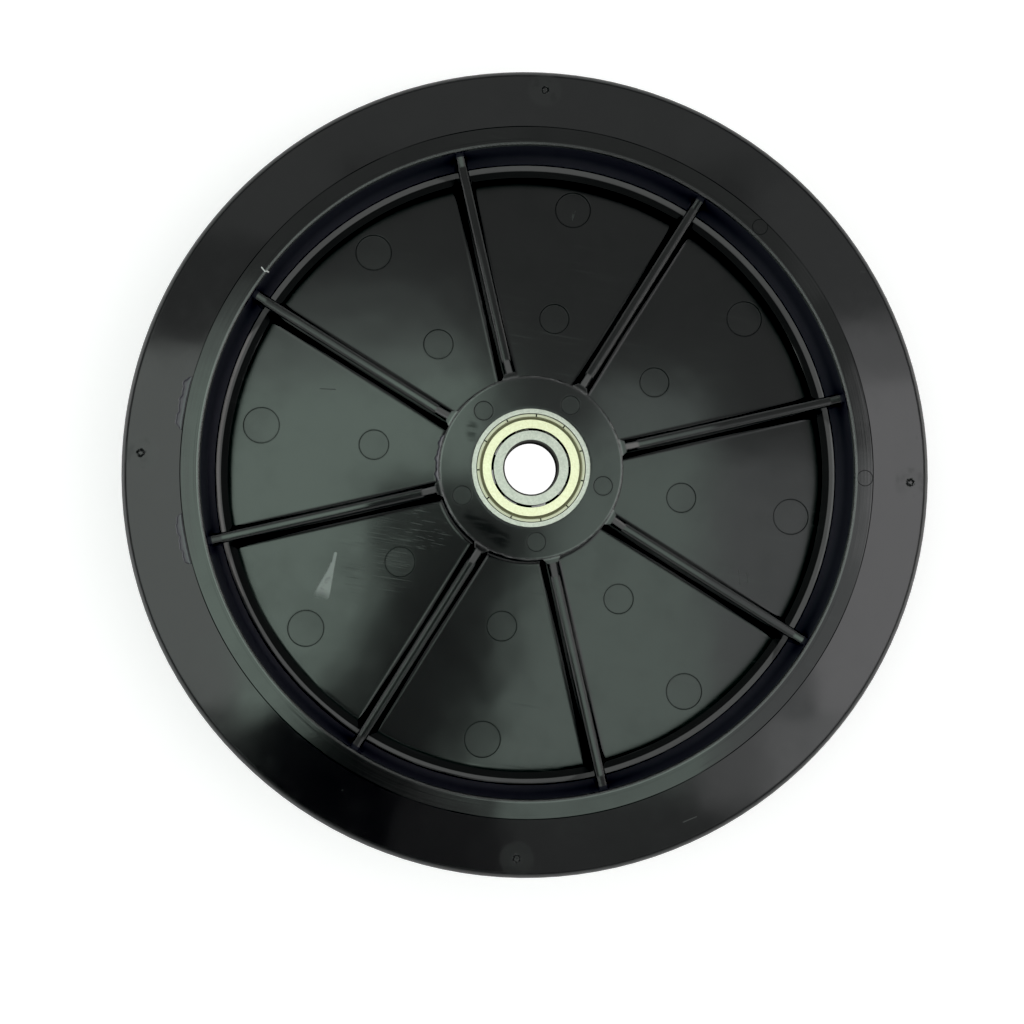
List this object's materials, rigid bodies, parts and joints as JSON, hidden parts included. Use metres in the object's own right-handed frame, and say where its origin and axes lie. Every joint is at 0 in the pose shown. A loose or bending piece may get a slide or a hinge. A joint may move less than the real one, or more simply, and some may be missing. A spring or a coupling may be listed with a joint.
{
  "type": "plastic wheel",
  "caption": "Black moulded plastic wheel with ribbed web, smooth overmoulded tyre and a shielded ball bearing in the hub, for a fixed axle on a garden machine.",
  "frame": {"origin": "on the axle's axis, in the plane of the back of the rim that the wheel lies on", "axes": "+Z along the axle's axis, out of the ribbed front that shows the bearing; +X midway between two ribs"},
  "size_m": [0.261, 0.261, 0.05],
  "materials": {
    "core_plastic": "black moulded plastic, satin gloss, with ejector marks and light scuffs",
    "tyre_rubber": "smooth black overmoulded tyre, satin gloss",
    "ring_steel": "ground bearing steel",
    "shield_steel": "pressed steel with a pale yellow passivated finish",
    "cage_steel": "pressed steel strip",
    "ball_steel": "polished bearing steel"
  },
  "bodies": {
    "axle_side": {"bearing_inner_ring": "ring_steel"},
    "wheel": {"wheel_core": "core_plastic", "tyre": "tyre_rubber", "bearing_outer_ring": "ring_steel", "shield_front": "shield_steel", "shield_back": "shield_steel"},
    "ball_train": {"ball_1": "ball_steel", "ball_2": "ball_steel", "ball_3": "ball_steel", "ball_4": "ball_steel", "ball_5": "ball_steel", "ball_6": "ball_steel", "ball_7": "ball_steel", "ball_8": "ball_steel", "cage_front": "cage_steel", "cage_back": "cage_steel", "cage_rivets": "cage_steel"}
  },
  "joints": [
    {"name": "wheel_spin", "type": "hinge", "parent": "axle_side", "child": "wheel", "pos_m": [0, 0, 0.0437], "axis": [0, 0, 1], "continuous": true},
    {"name": "ball_train_orbit", "type": "hinge", "parent": "axle_side", "child": "ball_train", "pos_m": [0, 0, 0.0437], "axis": [0, 0, 1], "continuous": true}
  ],
  "couplings": [
    {"joint": "ball_train_orbit", "follows": "wheel_spin", "ratio": 0.61837}
  ]
}
